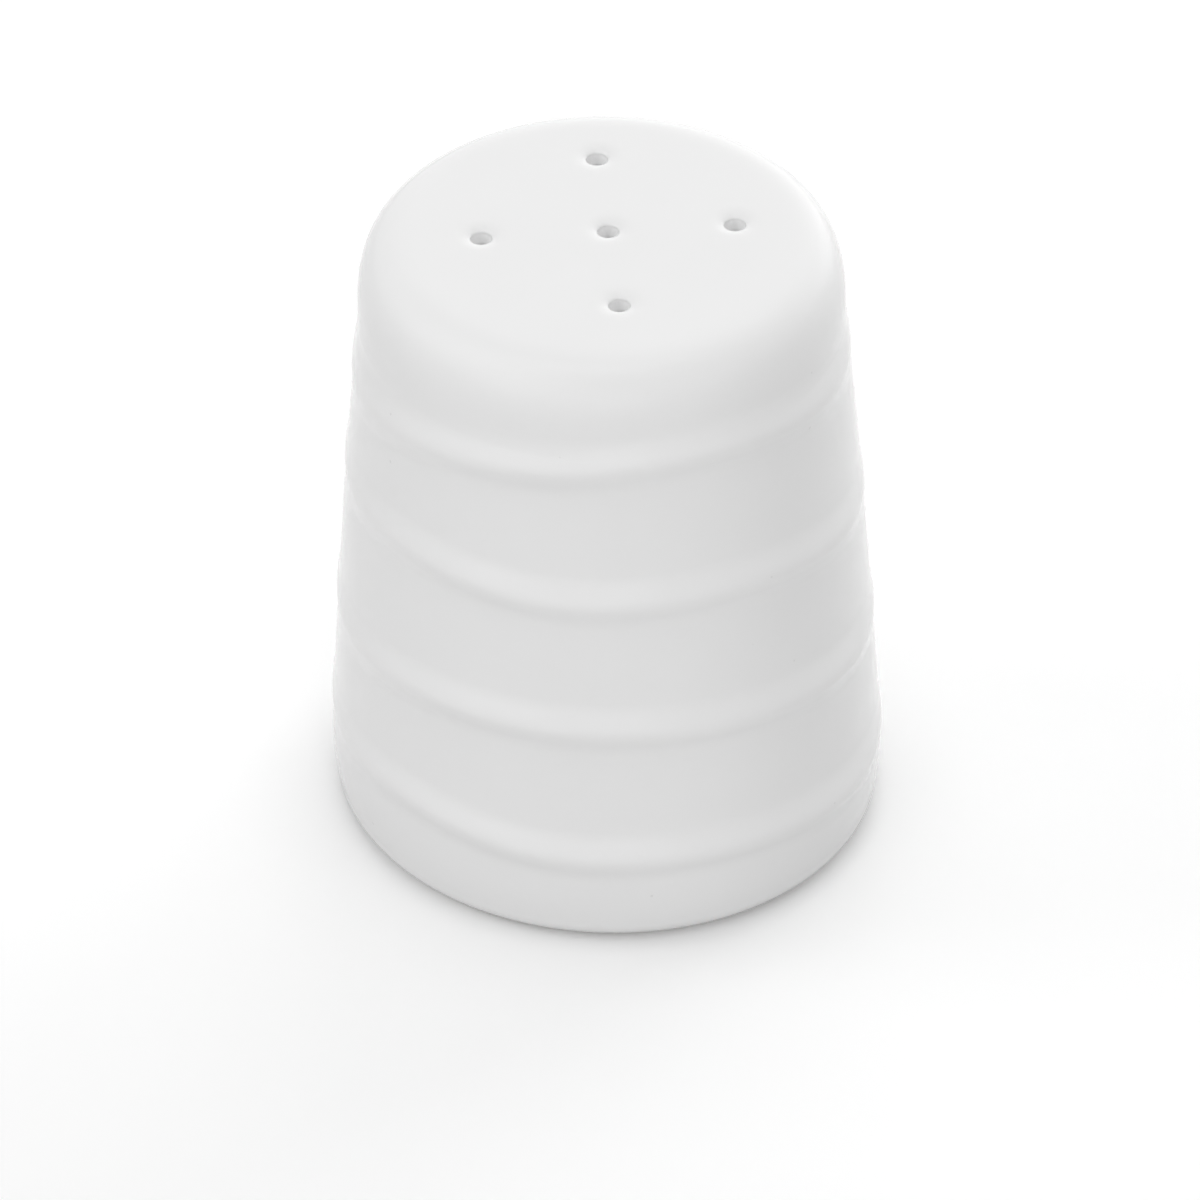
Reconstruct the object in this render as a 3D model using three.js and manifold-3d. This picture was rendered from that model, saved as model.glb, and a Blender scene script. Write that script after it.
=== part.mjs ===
// A white glazed porcelain salt shaker, in millimetres, +Z up.
// The origin is the middle of the circle that it stands on, and +Y points away from the viewer.
// It is two pieces: the hollow body, fired in one piece, and the soft plug that closes its fill hole.

import * as THREE from 'three';
import { mergeVertices } from 'three/addons/utils/BufferGeometryUtils.js';
import Module from 'manifold-3d';

// Body: the outside
const overall_height = 75;
const base_radius = 31.7;        // the wall's line, carried straight down to the table
const shoulder_radius = 27;      // where the wall ends and the shoulder starts to turn in
const wall_bulge = 0.4;          // how far the wall swells half way up
const shoulder_drop = 10;        // height of the shoulder
const shoulder_reach = 6.4;      // how far the shoulder runs in before the top is flat
const shoulder_squareness = 3;   // 2 is an ellipse, more is a tighter corner
const foot_rise = 9.1;           // height over which the wall draws in towards the foot
const foot_inset = 0.7;          // how far it draws in
const foot_round = 2.4;          // the rounding under the wall, down to the foot ring

// Body: the four soft ridges, which wander up and down as hand-made ones do
const ridge_rise = 0.9;          // at the front and the back
const ridge_fade = 0.8;          // share of the rise that is lost at the two sides
const ridge_fade_power = 6;      // more keeps the loss closer to the sides
const ridge_reach = 3.7;         // distance from the crest to where a ridge ends
// A crest's height is a sum of powers of the cosine of the angle round the body; shares of the wall's height
const ridge_crest_shares = [
  [0.186, 0.0057, 0.0192, -0.1065, -0.0317, 0.0826],
  [0.4505, -0.0111, -0.0125, -0.0295, -0.0297, 0.0305],
  [0.7088, 0.0094, 0.02, -0.0872, -0.0466, 0.0528],
  [0.9788, 0.0383, -0.0198, -0.0715, -0.0326, 0.0537],
];

// Body: thicknesses
const side_wall = 3.5;
const top_wall = 3.2;
const base_plate = 3.8;
const floor_fillet = 4;

// Body: the pour holes, a cross of four round one in the middle
const pour_hole_radius = 1.2;
const pour_rim_radius = 3.1;     // where the soft sink round a hole meets the top
const pour_rim_depth = 0.5;
const pour_lip_depth = 0.1;      // the short upright lip under the sink
const pour_cone_depth = 0.9;     // the awl's taper, down to the narrow bore
const pour_bore_radius = 0.6;
const pour_circle_radius = 14;
const pour_shift_x = 0.9;        // the pattern was punched a little off the middle
const pour_shift_y = 1.45;
const outer_pour_holes = 4;

// Body: the foot ring and the fill hole in the base plate
const foot_width = 3.5;
const recess_draft = 0.6;
const fill_hole_radius = 9.5;
const fill_hole_edge = 0.8;      // width of the softened edges of the fill hole

// Stopper
const seat_gap = 0.3;            // between the stopper and the body, all round
const table_clearance = 1.1;     // from the table up to the stopper
const flange_thickness = 1.6;
const flange_overlap = 2.5;      // how far the flange reaches past the fill hole
const flange_round = 0.5;
const bead_rise = 0.5;           // how far the sealing beads stand out of the plug
const bead_width = 1;
const bead_height_shares = [0.35, 0.72];   // of the base plate's thickness
const nose_rise = 2.2;           // how far the plug reaches into the chamber
const nose_taper = 0.9;
const nose_round = 0.6;
const nose_thickness = 1.8;      // roof over the finger pockets
const plug_wall = 1.5;
const fin_thickness = 2.2;       // the fin that two fingers pinch

// How finely curves are drawn
const turn_steps = 60;
const foot_steps = 4;
const ridge_row_shares = [-1, -0.5, 0, 0.5, 1];   // of the ridge's reach, from its crest
const shoulder_steps = 8;
const inner_shoulder_steps = 4;
const fillet_steps = 3;
const hole_steps = 20;
const rim_steps = 4;
const pocket_steps = 14;
const cut_overrun = 1;           // how far a cutting shape runs past the surface it cuts

const quarter_turn = Math.PI / 2;
const shoulder_z = overall_height - shoulder_drop;
const recess_depth = table_clearance + flange_thickness + seat_gap;
const floor_z = recess_depth + base_plate;

const porcelain = new THREE.MeshStandardMaterial({ color: 0xf3f3f2, roughness: 0.12, metalness: 0 });
const soft_plastic = new THREE.MeshStandardMaterial({ color: 0xe6e8e6, roughness: 0.5, metalness: 0 });

const wasm = await Module();
wasm.setup();

// Solid from a closed geometry, and geometry from a solid
function toSolid(geometry) {
  const bare = geometry.clone();
  bare.deleteAttribute('normal');
  bare.deleteAttribute('uv');
  const merged = mergeVertices(bare);
  return new wasm.Manifold(new wasm.Mesh({
    numProp: 3,
    vertProperties: new Float32Array(merged.attributes.position.array),
    triVerts: new Uint32Array(merged.index.array),
  }));
}

function toGeometry(solid) {
  const mesh = solid.getMesh();
  const geometry = new THREE.BufferGeometry();
  geometry.setAttribute('position', new THREE.BufferAttribute(new Float32Array(mesh.vertProperties), 3));
  geometry.setIndex(new THREE.BufferAttribute(new Uint32Array(mesh.triVerts), 1));
  geometry.computeVertexNormals();
  return geometry;
}

// A profile of [radius, height] points, spun round +Z
function spin(profile, steps) {
  const points = profile.map(([radius, height]) => new THREE.Vector2(radius, height));
  return new THREE.LatheGeometry(points, steps).rotateX(quarter_turn);
}

// The wall's radius at a height, before its foot and shoulder are shaped
function wallRadius(height) {
  const up = height / shoulder_z;
  return base_radius + (shoulder_radius - base_radius) * up + wall_bulge * 4 * up * (1 - up);
}

// The outside radius at a height, from the table to the flat top
function outsideRadius(height) {
  if (height < foot_round) {
    const along = 1 - height / foot_round;
    return wallRadius(foot_round) - foot_inset - foot_round * (1 - Math.sqrt(1 - along ** 2));
  }
  if (height < foot_rise) {
    return wallRadius(height) - foot_inset * ((foot_rise - height) / (foot_rise - foot_round)) ** 2;
  }
  if (height < shoulder_z) {
    return wallRadius(height);
  }
  const climb = Math.min((height - shoulder_z) / shoulder_drop, 1);
  const left = (1 - climb ** shoulder_squareness) ** (1 / shoulder_squareness);
  return shoulder_radius - shoulder_reach * (1 - left);
}

// The height of a ridge's crest at an angle round the body
function crestHeight(index, angle) {
  const terms = ridge_crest_shares[index].map((share, power) => share * Math.cos(angle) ** power);
  return shoulder_z * terms.reduce((sum, term) => sum + term, 0);
}

const ridge_levels = ridge_crest_shares.map(([share]) => share * shoulder_z);

// How far the rows of the outside at a level follow the ridges next to it; none at the table and at the top
function rowWander(level, angle) {
  const stops = [0, ...ridge_levels, overall_height];
  const moves = [0, ...ridge_levels.map((middle, index) => crestHeight(index, angle) - middle), 0];
  const after = Math.min(stops.findIndex((stop, index) => index > 0 && level <= stop), stops.length - 1);
  const share = (level - stops[after - 1]) / (stops[after] - stops[after - 1]);
  return moves[after - 1] + (moves[after] - moves[after - 1]) * share;
}

// How far the ridges lift the outside at a height and an angle: a bump that starts and ends without a kink
function ridgeRise(height, angle) {
  const bold = 1 - ridge_fade * Math.cos(angle) ** ridge_fade_power;
  const rises = ridge_levels.map((_, index) => {
    const away = (height - crestHeight(index, angle)) / ridge_reach;
    return ridge_rise * bold * Math.max(1 - away ** 2, 0) ** 3;
  });
  return Math.max(...rises);
}

// Levels of the rows of points on the outside, from the table to the edge of the flat top
function outsideLevels() {
  const levels = [];
  for (let step = 0; step <= foot_steps; step += 1) {
    levels.push(foot_round * (1 - Math.cos((quarter_turn * step) / foot_steps)));
  }
  levels.push((foot_round + foot_rise) / 2);
  for (const level of ridge_levels) {
    levels.push(...ridge_row_shares.map((share) => level + share * ridge_reach));
  }
  for (let step = 1; step <= shoulder_steps; step += 1) {
    const climb = Math.sin((quarter_turn * step) / shoulder_steps) ** (2 / shoulder_squareness);
    levels.push(shoulder_z + shoulder_drop * climb);
  }
  return levels;
}

// The inside, from the middle of the chamber's ceiling down to its floor, then out through the fill hole
function insideProfile() {
  const ceiling_z = overall_height - top_wall;
  const profile = [[0, ceiling_z]];
  for (let step = inner_shoulder_steps; step >= 0; step -= 1) {
    const angle = (quarter_turn * step) / inner_shoulder_steps;
    const out = Math.cos(angle) ** (2 / shoulder_squareness);
    const climb = Math.sin(angle) ** (2 / shoulder_squareness);
    const radius = shoulder_radius - side_wall - shoulder_reach * (1 - out);
    profile.push([radius, shoulder_z + (ceiling_z - shoulder_z) * climb]);
  }
  profile.push([wallRadius(shoulder_z / 2) - side_wall, shoulder_z / 2]);
  for (let step = 0; step <= fillet_steps; step += 1) {
    const angle = (quarter_turn * step) / fillet_steps;
    const height = floor_z + floor_fillet * (1 - Math.sin(angle));
    const radius = wallRadius(floor_z + floor_fillet) - side_wall - floor_fillet * (1 - Math.cos(angle));
    profile.push([radius, height]);
  }
  profile.push([fill_hole_radius + fill_hole_edge, floor_z]);
  profile.push([fill_hole_radius, floor_z - fill_hole_edge]);
  profile.push([fill_hole_radius, recess_depth + fill_hole_edge]);
  profile.push([fill_hole_radius + fill_hole_edge, recess_depth]);
  profile.push([outsideRadius(0) - foot_width - recess_draft, recess_depth]);
  profile.push([outsideRadius(0) - foot_width, 0]);
  return profile;
}

// Moves the rows of the outside along with the ridges and raises the ridges themselves
function shapeOutside(geometry, row_count, first_row, levels) {
  const position = geometry.attributes.position;
  for (let index = 0; index < position.count; index += 1) {
    const row = (index % row_count) - first_row;
    if (row >= 0 && row < levels.length) {
      const angle = Math.atan2(position.getY(index), position.getX(index));
      const height = levels[row] + rowWander(levels[row], angle);
      const radius = outsideRadius(height) + ridgeRise(height, angle);
      position.setXYZ(index, radius * Math.cos(angle), radius * Math.sin(angle), height);
    }
  }
}

// What a pour hole takes out of the top: a narrow bore, an awl's cone, a short lip and a soft sink
function pourHoleCut() {
  const rim_z = overall_height - pour_rim_depth;
  const lip_z = rim_z - pour_lip_depth;
  const low_z = overall_height - top_wall - cut_overrun;
  const profile = [
    [0, low_z],
    [pour_bore_radius, low_z],
    [pour_bore_radius, lip_z - pour_cone_depth],
    [pour_hole_radius, lip_z],
  ];
  for (let step = 0; step <= rim_steps; step += 1) {
    const angle = (quarter_turn * step) / rim_steps;
    const radius = pour_rim_radius - (pour_rim_radius - pour_hole_radius) * Math.cos(angle);
    profile.push([radius, rim_z + pour_rim_depth * Math.sin(angle)]);
  }
  profile.push([pour_rim_radius, overall_height + cut_overrun]);
  profile.push([0, overall_height + cut_overrun]);
  return spin(profile, hole_steps);
}

function pourHolePlaces() {
  const places = [[pour_shift_x, pour_shift_y]];
  for (let index = 0; index < outer_pour_holes; index += 1) {
    const angle = (2 * Math.PI * index) / outer_pour_holes;
    const x = pour_shift_x + pour_circle_radius * Math.cos(angle);
    const y = pour_shift_y + pour_circle_radius * Math.sin(angle);
    places.push([x, y]);
  }
  return places;
}

function ceramicBody() {
  const inside = insideProfile();
  const levels = outsideLevels();
  const outside = levels.map((level) => [outsideRadius(level), level]);
  const profile = [...inside, ...outside, [0, overall_height]];
  const shell = spin(profile, turn_steps);
  shapeOutside(shell, profile.length, inside.length, levels);
  let solid = toSolid(shell);
  for (const [x, y] of pourHolePlaces()) {
    solid = solid.subtract(toSolid(pourHoleCut().translate(x, y, 0)));
  }
  return new THREE.Mesh(toGeometry(solid), porcelain);
}

// The stopper's outside, from the middle of its underside round to the middle of its nose
function stopperProfile() {
  const flange_radius = fill_hole_radius + flange_overlap;
  const flange_top = table_clearance + flange_thickness;
  const bead_radius = fill_hole_radius - seat_gap;
  const plug_radius = bead_radius - bead_rise;
  const nose_top = floor_z + nose_rise;
  const profile = [
    [0, table_clearance],
    [flange_radius - flange_round, table_clearance],
    [flange_radius, table_clearance + flange_round],
    [flange_radius, flange_top],
    [plug_radius, flange_top],
  ];
  for (const share of bead_height_shares) {
    const middle = recess_depth + base_plate * share;
    profile.push([plug_radius, middle - bead_width / 2]);
    profile.push([bead_radius, middle - bead_width / 4]);
    profile.push([bead_radius, middle + bead_width / 4]);
    profile.push([plug_radius, middle + bead_width / 2]);
  }
  profile.push([plug_radius, floor_z]);
  profile.push([plug_radius - nose_taper, nose_top - nose_round]);
  profile.push([plug_radius - nose_taper - nose_round, nose_top]);
  profile.push([0, nose_top]);
  return profile;
}

// One of the two finger pockets, a half round each side of the fin
function fingerPocketCut(turn) {
  const radius = fill_hole_radius - seat_gap - bead_rise - plug_wall;
  const half_angle = Math.acos(fin_thickness / 2 / radius);
  const outline = new THREE.Shape();
  outline.absarc(0, 0, radius, -half_angle, half_angle, false);
  outline.closePath();
  const low_z = table_clearance - cut_overrun;
  const depth = floor_z + nose_rise - nose_thickness - low_z;
  const pocket = new THREE.ExtrudeGeometry(outline, { depth, bevelEnabled: false, curveSegments: pocket_steps });
  return pocket.translate(0, 0, low_z).rotateZ(turn);
}

function stopper() {
  let solid = toSolid(spin(stopperProfile(), turn_steps));
  for (const turn of [0, Math.PI]) {
    solid = solid.subtract(toSolid(fingerPocketCut(turn)));
  }
  return new THREE.Mesh(toGeometry(solid), soft_plastic);
}

const shaker = new THREE.Group();
const pieces = { ceramic_body: ceramicBody(), stopper: stopper() };
for (const [name, mesh] of Object.entries(pieces)) {
  mesh.name = name;
  shaker.add(mesh);
}

export default shaker;
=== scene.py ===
# %% [markdown]
# # A white porcelain salt shaker
#
# The real object is a hollow body of glazed porcelain, cast in one piece, and a soft plastic plug that
# closes the hole it is filled through. Four soft ridges run round its wall, five holes are punched in its
# top, and each hole sinks gently into the clay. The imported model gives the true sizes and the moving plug.
# This script gives both pieces their fine surface, a finish, a table to stand on, soft light and a camera.

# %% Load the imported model, which sets the sizes
import math

import bmesh
import bpy
from mathutils import Matrix, Vector


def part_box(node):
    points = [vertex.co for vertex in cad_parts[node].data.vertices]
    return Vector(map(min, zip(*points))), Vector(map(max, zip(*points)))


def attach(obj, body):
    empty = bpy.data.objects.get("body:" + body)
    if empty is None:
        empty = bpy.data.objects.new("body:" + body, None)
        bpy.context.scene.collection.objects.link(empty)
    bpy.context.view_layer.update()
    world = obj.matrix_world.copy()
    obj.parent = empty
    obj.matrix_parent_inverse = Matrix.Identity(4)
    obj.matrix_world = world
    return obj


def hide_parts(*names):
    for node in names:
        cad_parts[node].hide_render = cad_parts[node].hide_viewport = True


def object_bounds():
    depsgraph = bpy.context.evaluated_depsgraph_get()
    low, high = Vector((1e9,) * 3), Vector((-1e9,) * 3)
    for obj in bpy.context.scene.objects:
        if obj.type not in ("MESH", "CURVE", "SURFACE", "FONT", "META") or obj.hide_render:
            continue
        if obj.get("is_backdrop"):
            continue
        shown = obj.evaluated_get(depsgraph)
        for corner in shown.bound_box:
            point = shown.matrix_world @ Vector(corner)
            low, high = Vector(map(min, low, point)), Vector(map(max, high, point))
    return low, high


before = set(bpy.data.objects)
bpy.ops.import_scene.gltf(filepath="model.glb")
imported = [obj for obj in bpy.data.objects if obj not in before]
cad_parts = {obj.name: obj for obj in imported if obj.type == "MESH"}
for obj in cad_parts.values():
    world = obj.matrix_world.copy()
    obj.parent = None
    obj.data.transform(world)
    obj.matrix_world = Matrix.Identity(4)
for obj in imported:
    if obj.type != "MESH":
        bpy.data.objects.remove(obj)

mm = 0.001
cad_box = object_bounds()
body_low, body_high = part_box("ceramic_body")
plug_low, plug_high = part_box("stopper")
height = body_high.z
print("body", [round(side / mm, 1) for side in body_high - body_low], "mm")
print("plug", [round(side / mm, 1) for side in plug_high - plug_low], "mm")

# %% [markdown]
# ## Two helpers for round things
#
# Both pieces are turned shapes, so a potter's or a lathe worker's profile is all that they need: a few
# points of radius and height. The first helper joins such points into a line of edges, and Blender's spin
# operator sweeps the line round an axis. use_merge welds the last step to the first, so the wall closes
# without a seam. The second helper turns a bmesh into an object whose origin stays at the world's middle,
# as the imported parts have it.

# %% Spin a profile, and make an object of the result
same_place = 0.001 * mm


def spin_profile(mesh, profile, steps, middle=(0, 0)):
    """Sweeps points of (radius, height) round an upright axis. Returns the rings at the line's two ends."""
    centre = Vector((*middle, 0))
    line = [mesh.verts.new(centre + Vector((radius, 0, level))) for radius, level in profile]
    edges = [mesh.edges.new(pair) for pair in zip(line, line[1:])]
    before = set(mesh.verts)
    bmesh.ops.spin(
        mesh, geom=line + edges, cent=centre, axis=(0, 0, 1), angle=math.tau, steps=steps, use_merge=True
    )
    swept = [vert for vert in mesh.verts if vert not in before] + line
    rings = []
    for end in (line[0], line[-1]):
        radius = (end.co.xy - centre.xy).length
        rings.append([
            vert for vert in swept
            if abs(vert.co.z - end.co.z) < same_place
            and abs((vert.co.xy - centre.xy).length - radius) < same_place
        ])
    return rings


def ring_edges(mesh, ring):
    """The open edges that join the points of a ring."""
    members = set(ring)
    return [edge for edge in mesh.edges if edge.is_boundary and members.issuperset(edge.verts)]


def finish_object(mesh, name, body):
    """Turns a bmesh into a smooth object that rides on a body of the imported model."""
    bmesh.ops.remove_doubles(mesh, verts=mesh.verts, dist=same_place)
    bmesh.ops.recalc_face_normals(mesh, faces=mesh.faces)
    for face in mesh.faces:
        face.smooth = True
    data = bpy.data.meshes.new(name)
    mesh.to_mesh(data)
    mesh.free()
    piece = bpy.data.objects.new(name, data)
    bpy.context.scene.collection.objects.link(piece)
    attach(piece, body)
    print(name, "has", len(data.vertices), "points and", len(data.polygons), "faces")
    return piece


# %% [markdown]
# ## The line of the body's outside
#
# From the side the body is a blunt cone that swells by less than half a millimetre half way up. Near the
# table it draws in a little and then rolls under in a quarter circle, so a soft dark shadow lies round it.
# Its shoulder is tighter than a circle: it follows a superellipse, whose power says how square the corner
# is. One formula for each stretch is easier to correct against the photograph than a list of points.

# %% Sizes of the outside, and its radius at any height
base_radius = 31.7 * mm
shoulder_radius = 27 * mm
wall_bulge = 0.4 * mm
shoulder_drop = 10 * mm
shoulder_reach = 6.4 * mm
shoulder_squareness = 3
foot_rise = 9.1 * mm
foot_inset = 0.7 * mm
foot_round = 2.4 * mm
shoulder_level = height - shoulder_drop
flat_radius = shoulder_radius - shoulder_reach


def wall_radius(level):
    """The plain wall's radius at a height."""
    up = level / shoulder_level
    return base_radius + (shoulder_radius - base_radius) * up + wall_bulge * 4 * up * (1 - up)


def outside_radius(level):
    """The outside's radius at a height, with the foot and the shoulder."""
    if level < foot_round:
        along = 1 - level / foot_round
        return wall_radius(foot_round) - foot_inset - foot_round * (1 - math.sqrt(max(1 - along**2, 0)))
    if level < foot_rise:
        return wall_radius(level) - foot_inset * ((foot_rise - level) / (foot_rise - foot_round)) ** 2
    if level < shoulder_level:
        return wall_radius(level)
    climb = min((level - shoulder_level) / shoulder_drop, 1)
    squareness = shoulder_squareness
    return shoulder_radius - shoulder_reach * (1 - (1 - climb**squareness) ** (1 / squareness))


stand_radius = outside_radius(0)
print("the foot stands on a circle", round(2 * stand_radius / mm, 1), "mm across")

# %% [markdown]
# ## The whole line, outside and inside
#
# A cast piece has nearly the same wall all over, because the clay settles evenly on the plaster mould. So
# the inside repeats the outside, a wall's thickness further in. The line runs from the edge of the flat top
# down the outside, under the foot ring, across the recess, up through the fill hole, over the chamber's
# floor and up the inside to the ceiling. The two flat discs, top and ceiling, are left open for the pour
# holes.

# %% Thicknesses and the parts underneath
side_wall = 3.5 * mm
top_wall = 3.2 * mm
recess_depth = 3 * mm
base_plate = 3.8 * mm
floor_fillet = 4 * mm
foot_width = 3.5 * mm
foot_edge = 0.5 * mm
recess_corner = 1.2 * mm
fill_hole_radius = 9.5 * mm
fill_hole_edge = 0.8 * mm
floor_level = recess_depth + base_plate
ceiling_level = height - top_wall
ceiling_radius = shoulder_radius - side_wall - shoulder_reach
flat_rim = 0.4 * mm
wall_row = 0.4 * mm
inside_shares = (0.25, 0.5, 0.75)
shoulder_rows = 32
foot_rows = 12
foot_edge_rows = 5
corner_rows = 6
fillet_rows = 8
inside_shoulder_rows = 12
around = 288


def arc(middle, radius, start, end, steps):
    """Points of (radius, height) on a circular arc, angles in degrees, both ends included."""
    angles = [math.radians(start + (end - start) * step / steps) for step in range(steps + 1)]
    return [(middle[0] + radius * math.cos(angle), middle[1] + radius * math.sin(angle)) for angle in angles]


def shoulder_line(edge_radius, reach, low, high, steps):
    """A shoulder's points from its flat top's edge down to the wall."""
    power = 2 / shoulder_squareness
    angles = [math.radians(90 - 90 * step / steps) for step in range(steps + 1)]
    return [
        (edge_radius - reach * (1 - math.cos(angle) ** power), low + (high - low) * math.sin(angle) ** power)
        for angle in angles
    ]


def body_line():
    """The body's profile from the edge of the flat top round to the edge of the ceiling."""
    line = [(flat_radius - flat_rim, height)]
    line += shoulder_line(shoulder_radius, shoulder_reach, shoulder_level, height, shoulder_rows)
    rows = round((shoulder_level - foot_round) / wall_row)
    for row in range(1, rows):
        level = shoulder_level - (shoulder_level - foot_round) * row / rows
        line.append((outside_radius(level), level))
    line += arc((stand_radius, foot_round), foot_round, 0, -90, foot_rows)
    inner_foot = stand_radius - foot_width
    line += arc((inner_foot + foot_edge, foot_edge), foot_edge, -90, -180, foot_edge_rows)
    recess_middle = (inner_foot - recess_corner, recess_depth - recess_corner)
    line += arc(recess_middle, recess_corner, 0, 90, corner_rows)
    hole_middle = fill_hole_radius + fill_hole_edge
    line += arc((hole_middle, recess_depth + fill_hole_edge), fill_hole_edge, -90, -180, corner_rows)
    line += arc((hole_middle, floor_level - fill_hole_edge), fill_hole_edge, 180, 90, corner_rows)
    fillet_middle = wall_radius(floor_level + floor_fillet) - side_wall - floor_fillet
    line += arc((fillet_middle, floor_level + floor_fillet), floor_fillet, -90, 0, fillet_rows)
    for share in inside_shares:
        level = shoulder_level * share
        line.append((wall_radius(level) - side_wall, level))
    inside_radius = shoulder_radius - side_wall
    line += reversed(
        shoulder_line(inside_radius, shoulder_reach, shoulder_level, ceiling_level, inside_shoulder_rows)
    )
    line.append((ceiling_radius - flat_rim, ceiling_level))
    return line


body_mesh = bmesh.new()
top_ring, ceiling_ring = spin_profile(body_mesh, body_line(), around)
print("the body's line has", len(body_line()), "points")

# %% [markdown]
# ## The pour holes
#
# The holes are pricked with a tapered awl while the clay is soft. The clay sinks a little round the awl,
# and the glaze then rounds the rim. So each hole is a shallow dish, then a cone, then a narrow bore, and
# its light inside comes from the cone, which faces the sky. Cutting them with a boolean would leave ragged
# faces just where the light shows them best. Instead, each hole is spun about its own axis as a short tube,
# and the flat surface between the tubes and the edge of the top is filled afterwards.

# %% Spin the five holes
pour_hole_radius = 1.2 * mm
pour_bore_radius = 0.6 * mm
pour_cone_depth = 0.9 * mm
pour_lip_depth = 0.1 * mm
pour_rim_radius = 3.1 * mm
pour_rim_depth = 0.5 * mm
pour_patch_radius = 3.8 * mm
pour_circle_radius = 14 * mm
pour_shift_x = 0.9 * mm
pour_shift_y = 1.45 * mm
pour_under_edge = 0.4 * mm
outer_holes = 4
pour_around = 64
pour_rim_rows = 16
pour_cone_rows = 5
pour_under_rows = 4

pour_middle = Vector((pour_shift_x, pour_shift_y))
pour_places = [pour_middle]
for number in range(outer_holes):
    turn = math.radians(360 / outer_holes * number)
    pour_places.append(pour_middle + pour_circle_radius * Vector((math.cos(turn), math.sin(turn))))

pour_line = [(pour_patch_radius, height)]
for step in range(pour_rim_rows + 1):
    angle = math.radians(90 - 90 * step / pour_rim_rows)
    pour_line.append((
        pour_rim_radius - (pour_rim_radius - pour_hole_radius) * math.cos(angle),
        height - pour_rim_depth * (1 - math.sin(angle)),
    ))
lip_level = height - pour_rim_depth - pour_lip_depth
pour_line.append((pour_hole_radius, lip_level))
for step in range(1, pour_cone_rows + 1):
    pour_line.append((
        pour_hole_radius - (pour_hole_radius - pour_bore_radius) * step / pour_cone_rows,
        lip_level - pour_cone_depth * step / pour_cone_rows,
    ))
under_middle = (pour_bore_radius + pour_under_edge, ceiling_level + pour_under_edge)
pour_line += arc(under_middle, pour_under_edge, 180, 270, pour_under_rows)
pour_line.append((pour_bore_radius + 2 * pour_under_edge, ceiling_level))

top_rings = [top_ring]
ceiling_rings = [ceiling_ring]
for place in pour_places:
    upper, lower = spin_profile(body_mesh, pour_line, pour_around, place)
    top_rings.append(upper)
    ceiling_rings.append(lower)
print("pour holes at", [(round(x / mm, 1), round(y / mm, 1)) for x, y in pour_places])

# %% Fill the flat top and the flat ceiling round the holes
for rings in (top_rings, ceiling_rings):
    edges = [edge for ring in rings for edge in ring_edges(body_mesh, ring)]
    filled = bmesh.ops.triangle_fill(body_mesh, edges=edges, use_beauty=True, normal=(0, 0, 1))
    faces = [part for part in filled["geom"] if isinstance(part, bmesh.types.BMFace)]
    print("filled a disc with", len(faces), "faces")

# %% [markdown]
# ## The ridges, and the small errors of the hand
#
# The four ridges are soft swellings. None of them is level: each wanders up and down on its way round, as
# things turned by hand do. A short polynomial of the cosine of the angle describes such a crest, and it
# closes on itself by nature. The section of a ridge is a bump that starts and ends without a kink. The
# ridges are bold at the front and the back and nearly fade at the two sides, where the halves of the mould
# met and the seam was rubbed down. The mesh is fine enough to carry them, so they are shaped by moving its
# points and need no bump in the finish.

# %% Where the crests run, and how much ridge there is at a point
ridge_rise = 0.9 * mm
ridge_fade = 0.8
ridge_fade_power = 6
ridge_reach = 3.7 * mm
ridge_crests = [
    [12.09, 0.37, 1.25, -6.92, -2.06, 5.37],
    [29.28, -0.72, -0.81, -1.92, -1.93, 1.98],
    [46.07, 0.61, 1.30, -5.67, -3.03, 3.43],
    [63.62, 2.49, -1.29, -4.65, -2.12, 3.49],
]


def crest_level(crest, turn):
    """A crest's height where the angle round the body has the cosine turn."""
    return sum(term * turn**power for power, term in enumerate(crest)) * mm


def ridge_height(level, turn):
    """How far the ridges stand up at a height, where the angle round the body has the cosine turn."""
    bold = 1 - ridge_fade * turn**ridge_fade_power
    aways = [(level - crest_level(crest, turn)) / ridge_reach for crest in ridge_crests]
    return ridge_rise * bold * sum(max(1 - away**2, 0) ** 3 for away in aways)


for turn in (-0.9, 0.0, 0.9):
    print("crests at cosine", turn, [round(crest_level(crest, turn) / mm, 1) for crest in ridge_crests], "mm")

# %% Raise the ridges on the outside, and bend the body a hair
oval_at_foot = -0.016
oval_at_top = 0.005
oval_turn = math.radians(10)
lean = -0.006
flat_margin = 0.1 * mm

for vert in body_mesh.verts:
    level = vert.co.z
    radius = vert.co.xy.length
    angle = math.atan2(vert.co.y, vert.co.x)
    on_outside = radius > outside_radius(level) - side_wall / 2
    if on_outside and flat_margin < level < height - flat_margin:
        radius += ridge_height(level, math.cos(angle))
    up = level / height
    oval = (oval_at_foot * (1 - up) + oval_at_top * up) * math.sin(2 * angle + oval_turn)
    radius *= 1 + oval
    vert.co.x = radius * math.cos(angle) + lean * level
    vert.co.y = radius * math.sin(angle)

body = finish_object(body_mesh, "porcelain_body", "shaker")
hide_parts("ceramic_body")

# %% [markdown]
# ## The plug
#
# A soft plug is moulded in one shot: a flange that stops it, a stem with two sealing beads, a tapered nose,
# and a hollow underside. A fin across the hollow is what two fingers pinch. The turned shape is spun first.
# The two finger pockets are half discs cut away by a boolean, because they aren't round about the plug's
# axis.

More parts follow.
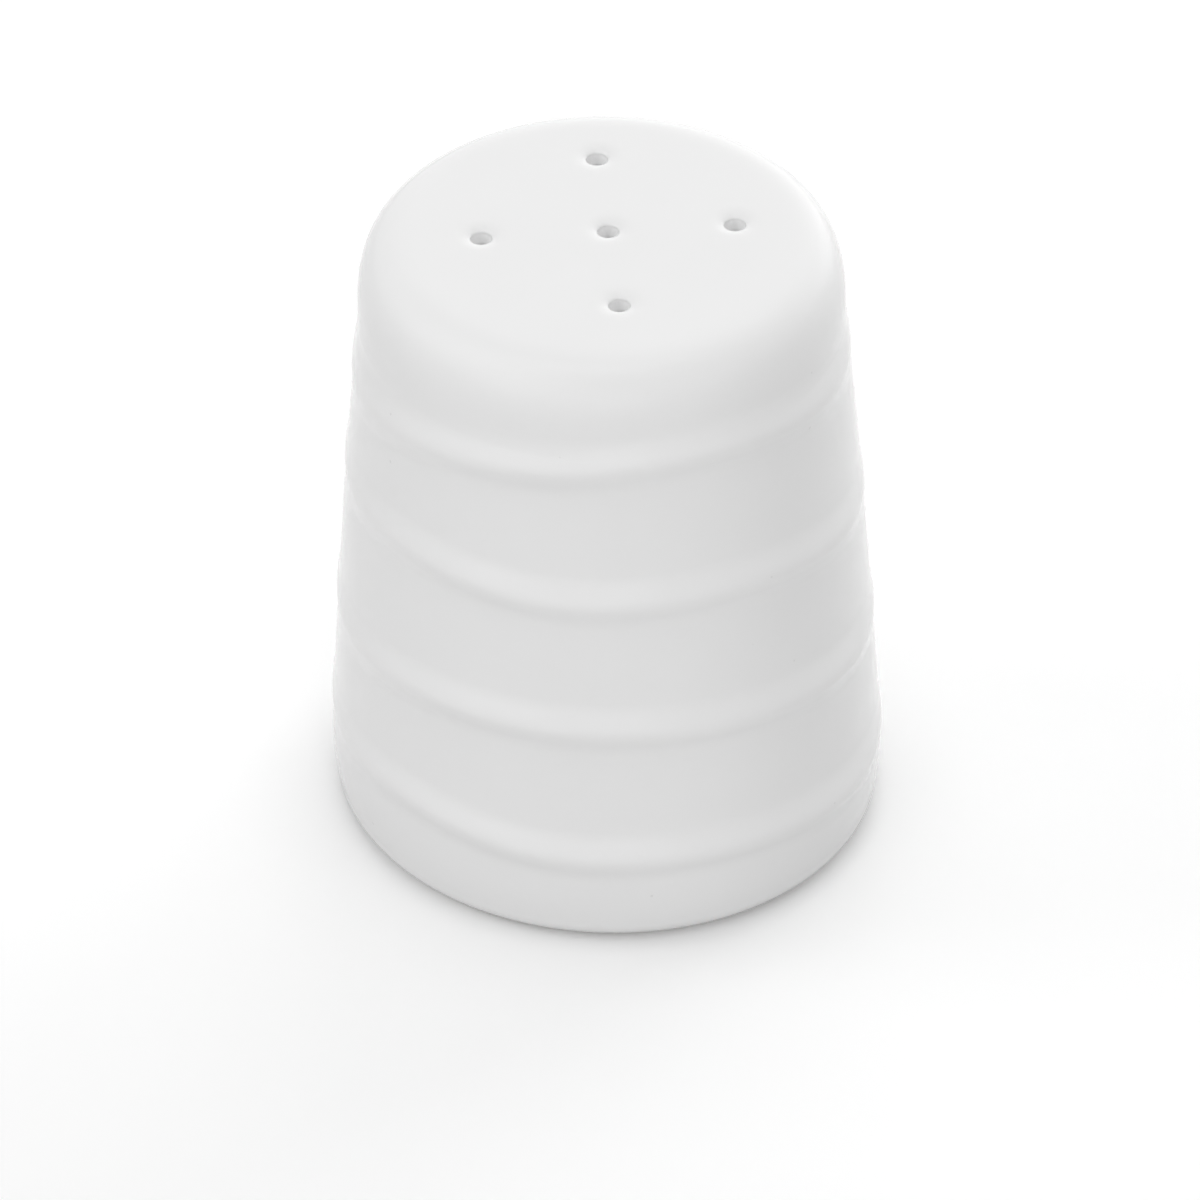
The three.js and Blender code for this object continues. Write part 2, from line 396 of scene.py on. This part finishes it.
# %% Spin the plug's outside
seat_gap = 0.3 * mm
flange_radius = plug_high.x
flange_thickness = 1.6 * mm
flange_edge = 0.5 * mm
bead_rise = 0.5 * mm
bead_half = 0.5 * mm
bead_places = (0.35, 0.72)
nose_taper = 0.9 * mm
nose_edge = 0.6 * mm
nose_lean = 10
flange_rows = 5
flange_top_rows = 4
bead_rows = 8
nose_rows = 5
plug_around = 96
stem_radius = fill_hole_radius - seat_gap - bead_rise
flange_top = plug_low.z + flange_thickness


def plug_line():
    """The plug's profile from the middle of its underside to the middle of its nose."""
    half_edge = flange_edge / 2
    line = [(0, plug_low.z)]
    line += arc((flange_radius - flange_edge, plug_low.z + flange_edge), flange_edge, -90, 0, flange_rows)
    line += arc((flange_radius - half_edge, flange_top - half_edge), half_edge, 0, 90, flange_top_rows)
    line += arc((stem_radius + half_edge, flange_top + half_edge), half_edge, 270, 180, flange_top_rows)
    for share in bead_places:
        middle = recess_depth + base_plate * share
        for step in range(bead_rows + 1):
            across = 2 * step / bead_rows - 1
            bulge = bead_rise * math.cos(math.radians(90 * across))
            line.append((stem_radius + bulge, middle + bead_half * across))
    nose_radius = stem_radius - nose_taper
    line.append((stem_radius, floor_level))
    nose_middle = (nose_radius - nose_edge, plug_high.z - nose_edge)
    line += arc(nose_middle, nose_edge, nose_lean, 90, nose_rows)
    line.append((0, plug_high.z))
    return line


plug_mesh = bmesh.new()
spin_profile(plug_mesh, plug_line(), plug_around)
plug = finish_object(plug_mesh, "soft_plug", "plug")
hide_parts("stopper")

# %% Cut the two finger pockets
plug_wall = 1.5 * mm
fin_half = 1.1 * mm
pocket_roof = 1.8 * mm
pocket_edge = 0.5 * mm
pocket_edge_rows = 3
pocket_around = 64
cutter_overrun = 1 * mm
pocket_radius = stem_radius - plug_wall
cutter_height = plug_high.z - pocket_roof - plug_low.z + cutter_overrun

cutter_mesh = bmesh.new()
for side in (1, -1):
    disc = bmesh.ops.create_circle(cutter_mesh, cap_ends=True, radius=pocket_radius, segments=pocket_around)
    points = disc["verts"]
    bmesh.ops.translate(cutter_mesh, verts=points, vec=(0, 0, plug_low.z - cutter_overrun))
    geometry = points + list({part for vert in points for part in (*vert.link_edges, *vert.link_faces)})
    bmesh.ops.bisect_plane(
        cutter_mesh, geom=geometry, plane_co=(side * fin_half, 0, 0), plane_no=(side, 0, 0), clear_inner=True
    )
raised = bmesh.ops.extrude_face_region(cutter_mesh, geom=list(cutter_mesh.faces))
tops = [part for part in raised["geom"] if isinstance(part, bmesh.types.BMVert)]
bmesh.ops.translate(cutter_mesh, verts=tops, vec=(0, 0, cutter_height))
top_edges = {edge for vert in tops for edge in vert.link_edges if all(end in tops for end in edge.verts)}
bmesh.ops.bevel(
    cutter_mesh, geom=list(top_edges), affect="EDGES",
    offset=pocket_edge, segments=pocket_edge_rows, profile=0.5, material=-1,
)
bmesh.ops.recalc_face_normals(cutter_mesh, faces=cutter_mesh.faces)
cutter_data = bpy.data.meshes.new("pocket_cutter")
cutter_mesh.to_mesh(cutter_data)
cutter_mesh.free()
cutter = bpy.data.objects.new("pocket_cutter", cutter_data)
bpy.context.scene.collection.objects.link(cutter)

carve = plug.modifiers.new("finger pockets", "BOOLEAN")
carve.operation = "DIFFERENCE"
carve.solver = "EXACT"
carve.object = cutter
bpy.context.view_layer.update()
carved = bpy.data.meshes.new_from_object(plug.evaluated_get(bpy.context.evaluated_depsgraph_get()))
plug.modifiers.clear()
plug.data = carved
bpy.data.objects.remove(cutter)
for face in plug.data.polygons:
    face.use_smooth = True
print("the carved plug has", len(plug.data.polygons), "faces")

# %% [markdown]
# ## Writing a finish as sums
#
# Blender's materials are graphs of nodes. Written out link by link they are hard to read, so a small class
# wraps a socket and lets it stand in a Python sum: each operator adds a Math node. Any other node is added
# by one method, which sets the node up and fills its sockets.

# %% A socket that can be added and multiplied
class Shade:
    """A node's output, or a bare node tree to start from."""

    def __init__(self, tree, socket=None):
        self.tree = tree
        self.socket = socket

    def add(self, kind, inputs=None, output=0, **settings):
        """Adds a node, sets it up, fills its sockets by name or number and returns one of its outputs."""
        node = self.tree.nodes.new(kind)
        for name, value in settings.items():
            setattr(node, name, value)
        for name, value in (inputs or {}).items():
            if isinstance(value, Shade):
                self.tree.links.new(value.socket, node.inputs[name])
            else:
                node.inputs[name].default_value = value
        return Shade(self.tree, node.outputs[output] if len(node.outputs) else None)

    def sum(self, operation, first, second):
        return self.add("ShaderNodeMath", {0: first, 1: second}, operation=operation)

    def __add__(self, other):
        return self.sum("ADD", self, other)

    def __sub__(self, other):
        return self.sum("SUBTRACT", self, other)

    def __rsub__(self, other):
        return self.sum("SUBTRACT", other, self)

    def __mul__(self, other):
        return self.sum("MULTIPLY", self, other)

    __radd__ = __add__

    def mix(self, first, second):
        """Goes from one colour to another as this value goes from 0 to 1."""
        return self.add("ShaderNodeMix", {0: self, 6: first, 7: second}, output=2, data_type="RGBA")

    def step(self, low, high):
        """0 below low, 1 above high, and a soft rise between."""
        inputs = {"Value": self, "From Min": low, "From Max": high}
        return self.add("ShaderNodeMapRange", inputs, interpolation_type="SMOOTHSTEP")


def new_finish(name):
    """A material with an empty node tree, and the tree to start its shading from."""
    material = bpy.data.materials.new(name)
    material.use_nodes = True
    material.node_tree.nodes.clear()
    return material, Shade(material.node_tree)


def grey(level):
    return (level, level, level, 1)


# %% [markdown]
# ## Glazed porcelain
#
# The clay is white and the glaze on it is clear glass, so the finish is a white base under a smooth sheen.
# Real glaze isn't flat: it has a faint orange peel about a millimetre across and slow waves where it ran,
# and here and there a tiny pinhole or an ash grey speck. The foot ring is wiped before firing and stays
# bare, matt and a little warmer, because glaze there would stick the piece to the kiln shelf.

# %% Porcelain finish
peel_size = 1.3 * mm
peel_height = 0.0015 * mm
wave_size = 11 * mm
wave_height = 0.05 * mm
speck_spacing = 7 * mm
speck_reach = (0.018, 0.03)
speck_depth = 0.02 * mm
bare_levels = (0.25 * mm, 0.45 * mm)
glaze_dark = grey(0.85)
glaze_light = grey(0.864)
speck_colour = grey(0.55)
speck_strength = 0.25
bare_clay = (0.78, 0.765, 0.745, 1)
glaze_roughness = 0.1
wave_roughness = 0.05
bare_roughness = 0.65


def porcelain_finish():
    material, tree = new_finish("glazed porcelain")
    place = tree.add("ShaderNodeTexCoord", output="Object")
    level = tree.add("ShaderNodeSeparateXYZ", {0: place}, output="Z")

    peel = tree.add("ShaderNodeTexNoise", {"Vector": place, "Scale": 1 / peel_size, "Detail": 2.0})
    waves = tree.add("ShaderNodeTexNoise", {"Vector": place, "Scale": 1 / wave_size, "Detail": 1.0})
    cells = tree.add("ShaderNodeTexVoronoi", {"Vector": place, "Scale": 1 / speck_spacing, "Randomness": 1.0})
    speck = 1 - cells.step(*speck_reach)
    bare = 1 - level.step(*bare_levels)

    glaze_colour = waves.mix(glaze_dark, glaze_light)
    speckled = (speck * speck_strength).mix(glaze_colour, speck_colour)
    colour = bare.mix(speckled, bare_clay)
    roughness = glaze_roughness + waves * wave_roughness + bare * bare_roughness
    relief = peel * peel_height + waves * wave_height - speck * speck_depth
    bump = tree.add("ShaderNodeBump", {"Height": relief, "Distance": 1.0, "Strength": 1.0})
    surface = tree.add("ShaderNodeBsdfPrincipled", {
        "Base Color": colour, "Roughness": roughness, "Normal": bump, "IOR": 1.5,
    })
    tree.add("ShaderNodeOutputMaterial", {"Surface": surface})
    return material


body.data.materials.append(porcelain_finish())
print("porcelain on", body.name)

# %% [markdown]
# ## Soft plug plastic
#
# The plug is a milky, slightly waxy plastic that lets some light in. Subsurface scattering gives it that
# depth, and a fine grain from the mould keeps its sheen broken.

# %% Plug finish
grain_size = 0.35 * mm
grain_height = 0.03 * mm
cloud_size = 6 * mm
glow_depth = 2 * mm
plug_dark = (0.80, 0.81, 0.80, 1)
plug_light = (0.86, 0.87, 0.86, 1)
plug_roughness = 0.42
grain_roughness = 0.1


def plug_finish():
    material, tree = new_finish("soft plug plastic")
    place = tree.add("ShaderNodeTexCoord", output="Object")
    grain = tree.add("ShaderNodeTexNoise", {"Vector": place, "Scale": 1 / grain_size, "Detail": 3.0})
    cloud = tree.add("ShaderNodeTexNoise", {"Vector": place, "Scale": 1 / cloud_size, "Detail": 1.0})
    colour = cloud.mix(plug_dark, plug_light)
    roughness = plug_roughness + grain * grain_roughness
    bump = tree.add("ShaderNodeBump", {"Height": grain, "Distance": grain_height, "Strength": 1.0})
    surface = tree.add("ShaderNodeBsdfPrincipled", {
        "Base Color": colour, "Roughness": roughness, "Normal": bump, "IOR": 1.51,
        "Subsurface Weight": 0.4, "Subsurface Scale": glow_depth,
    })
    tree.add("ShaderNodeOutputMaterial", {"Surface": surface})
    return material


plug.data.materials.clear()
plug.data.materials.append(plug_finish())
print("soft plastic on", plug.name)

# %% [markdown]
# ## The table
#
# The photograph's ground is pure white, and all that shows on it is the soft shadow round the foot. The
# table is a big disc that looks white to the camera and in reflections. For light that it throws back at
# the shaker it is only pale grey, because the ridges show best when less light comes from below than from
# above. A little light of its own, seen but not shed, lifts the far parts to white, and the shadow stays.
# The table can be seen through from below, and it has a hole that the foot ring covers, so that the
# underside gets light and the plug has a way out.

# %% A white table under the shaker
table_radius = 3
table_level = -0.05 * mm
table_overlap = 0.3 * mm
table_hole_radius = stand_radius - table_overlap
table_around = 96
table_glow = 0.045
table_bounce = grey(0.53)


def table_finish():
    material, tree = new_finish("white table")
    rays = tree.add("ShaderNodeLightPath").socket.node.outputs
    camera_ray, glossy_ray = (Shade(tree.tree, rays[name]) for name in ("Is Camera Ray", "Is Glossy Ray"))
    seen = tree.sum("MAXIMUM", camera_ray, glossy_ray)
    glow = tree.add("ShaderNodeEmission", {"Color": grey(1), "Strength": seen * table_glow})
    sheet = tree.add("ShaderNodeBsdfDiffuse", {"Color": seen.mix(table_bounce, grey(1))})
    both = tree.add("ShaderNodeAddShader", {0: sheet, 1: glow})
    below = tree.add("ShaderNodeNewGeometry", output="Backfacing")
    clear = tree.add("ShaderNodeBsdfTransparent", {"Color": grey(1)})
    one_sided = tree.add("ShaderNodeMixShader", {0: below, 1: both, 2: clear})
    tree.add("ShaderNodeOutputMaterial", {"Surface": one_sided})
    return material


table_mesh = bmesh.new()
table_line = [(table_hole_radius, table_level), (table_radius, table_level)]
spin_profile(table_mesh, table_line, table_around)
for face in table_mesh.faces:
    face.normal_update()
    if face.normal.z < 0:
        face.normal_flip()
table_data = bpy.data.meshes.new("table")
table_mesh.to_mesh(table_data)
table_mesh.free()
table = bpy.data.objects.new("table", table_data)
bpy.context.scene.collection.objects.link(table)
table.data.materials.append(table_finish())
table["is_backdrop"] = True
print("table", [round(side, 1) for side in table.dimensions], "m")

# %% [markdown]
# ## Light
#
# The photograph has no hard shadow and no sharp highlight: soft boxes and pale walls all round. The top is
# the lightest face, the wall is nearly as light, and the rounded shoulder between them is darker. So the
# light comes from two levels: boxes overhead, and a ring of low boxes just above the table, weaker at the
# right, where the wall falls off. Two boxes behind draw the light rim at the right. The boxes don't show in
# the glaze. It mirrors the pale surrounding instead, which is brighter behind, at the right, and darker
# above the camera. The surrounding also sheds some light, and less of it from the right.

# %% Soft boxes
box_distance = 1.2
soft_boxes = (
    ("overhead box", 0, 89, 0.5, 2.6),
    ("tall back box", 180, 70, 0.8, 1.2),
    ("low front box", 0, 6, 0.6, 3.9),
    ("low left box", -45, 6, 0.6, 1.6),
    ("low right box", 45, 6, 0.6, 0.8),
    ("high left box", -100, 28, 0.5, 1.5),
    ("low back box", 135, 8, 0.6, 6.2),
    ("high back box", 165, 20, 0.6, 1.8),
)


def direction(azimuth, elevation):
    """A unit vector away from the shaker. Azimuth is counted from the viewer, to the right."""
    turn, rise = math.radians(azimuth), math.radians(elevation)
    return Vector((math.sin(turn) * math.cos(rise), -math.cos(turn) * math.cos(rise), math.sin(rise)))


def soft_box(name, azimuth, elevation, size, power):
    """A square lamp that looks at the shaker and isn't mirrored in it. Size in metres, power in watts."""
    away = direction(azimuth, elevation)
    lamp = bpy.data.lights.new(name, "AREA")
    lamp.size = size
    lamp.energy = power
    holder = bpy.data.objects.new(name, lamp)
    holder.location = Vector((0, 0, height / 2)) + away * box_distance
    holder.rotation_euler = away.to_track_quat("Z", "Y").to_euler()
    holder.visible_glossy = False
    bpy.context.scene.collection.objects.link(holder)


for box in soft_boxes:
    soft_box(*box)
print(len(soft_boxes), "soft boxes")

# %% A pale surrounding
patch_power = 12
gleam_behind = 0.85
dusk_above_camera = 0.8
shed_light = 0.55
dusk_at_right = 0.3

world = bpy.data.worlds.new("pale surrounding")
world.use_nodes = True
world.node_tree.nodes.clear()
sky = Shade(world.node_tree)
rays = sky.add("ShaderNodeLightPath").socket.node.outputs
camera_ray, glossy_ray = (Shade(sky.tree, rays[name]) for name in ("Is Camera Ray", "Is Glossy Ray"))
way = sky.add("ShaderNodeTexCoord", output="Generated")


def patch(azimuth, elevation):
    """1 in one direction of the surrounding, fading softly to 0 away from it."""
    centre = direction(azimuth, elevation)
    towards = sky.add("ShaderNodeVectorMath", {0: way, 1: centre}, output="Value", operation="DOT_PRODUCT")
    return sky.sum("POWER", towards * 0.5 + 0.5, patch_power)


mirrored = 1 + patch(150, 10) * gleam_behind - patch(0, 50) * dusk_above_camera
shed = shed_light - patch(90, 15) * dusk_at_right
strength = camera_ray + glossy_ray * mirrored + (1 - camera_ray - glossy_ray) * shed
background = sky.add("ShaderNodeBackground", {"Color": grey(1), "Strength": strength})
sky.add("ShaderNodeOutputWorld", {"Surface": background})
bpy.context.scene.world = world
print("surrounding", world.name)

# %% [markdown]
# ## Camera
#
# The photograph was taken from far away with a long lens, looking down at about 38 degrees. Its place was
# found by fitting the body's outline and the five holes to the picture: how far away it stood, which way it
# looked, and where the middle of the body falls in the frame.

# %% Place the camera as the photographer did
picture_side = 1200
focal_pixels = 8930
camera_distance = 1.0039
camera_azimuth = math.radians(-4.88)
camera_elevation = math.radians(37.57)
camera_roll = math.radians(-0.25)
aim = Vector((0, 0, 37 * mm))
aim_x = 606.2
aim_y = 512.6

back = Vector((
    math.sin(camera_azimuth) * math.cos(camera_elevation),
    -math.cos(camera_azimuth) * math.cos(camera_elevation),
    math.sin(camera_elevation),
))
level_right = Vector((math.cos(camera_azimuth), math.sin(camera_azimuth), 0))
level_up = back.cross(level_right)
right = math.cos(camera_roll) * level_right + math.sin(camera_roll) * level_up
up = back.cross(right)
across = (aim_x - picture_side / 2) / focal_pixels
down = (aim_y - picture_side / 2) / focal_pixels
camera_place = aim - (across * right - down * up - back) * camera_distance

lens = bpy.data.cameras.new("camera")
lens.sensor_width = 36
lens.lens = focal_pixels * lens.sensor_width / picture_side
lens.clip_start = 0.05
lens.clip_end = 20
camera = bpy.data.objects.new("camera", lens)
camera.matrix_world = Matrix.Translation(camera_place) @ Matrix((right, up, back)).transposed().to_4x4()
bpy.context.scene.collection.objects.link(camera)
bpy.context.scene.camera = camera
bpy.context.scene.view_settings.view_transform = "Standard"
print("lens", round(lens.lens, 1), "mm at", round(camera_place.length, 3), "m")

# %% [markdown]
# ## Print both sizes at the end
#
# The fine surfaces must fill the same box as the imported solids, so both boxes are written side by side.

# %% Write both boxes and finish
new_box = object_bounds()
for name, (low, high) in (("cad", cad_box), ("visual", new_box)):
    print(name, "box", [round(side / mm, 2) for side in high - low], "mm")
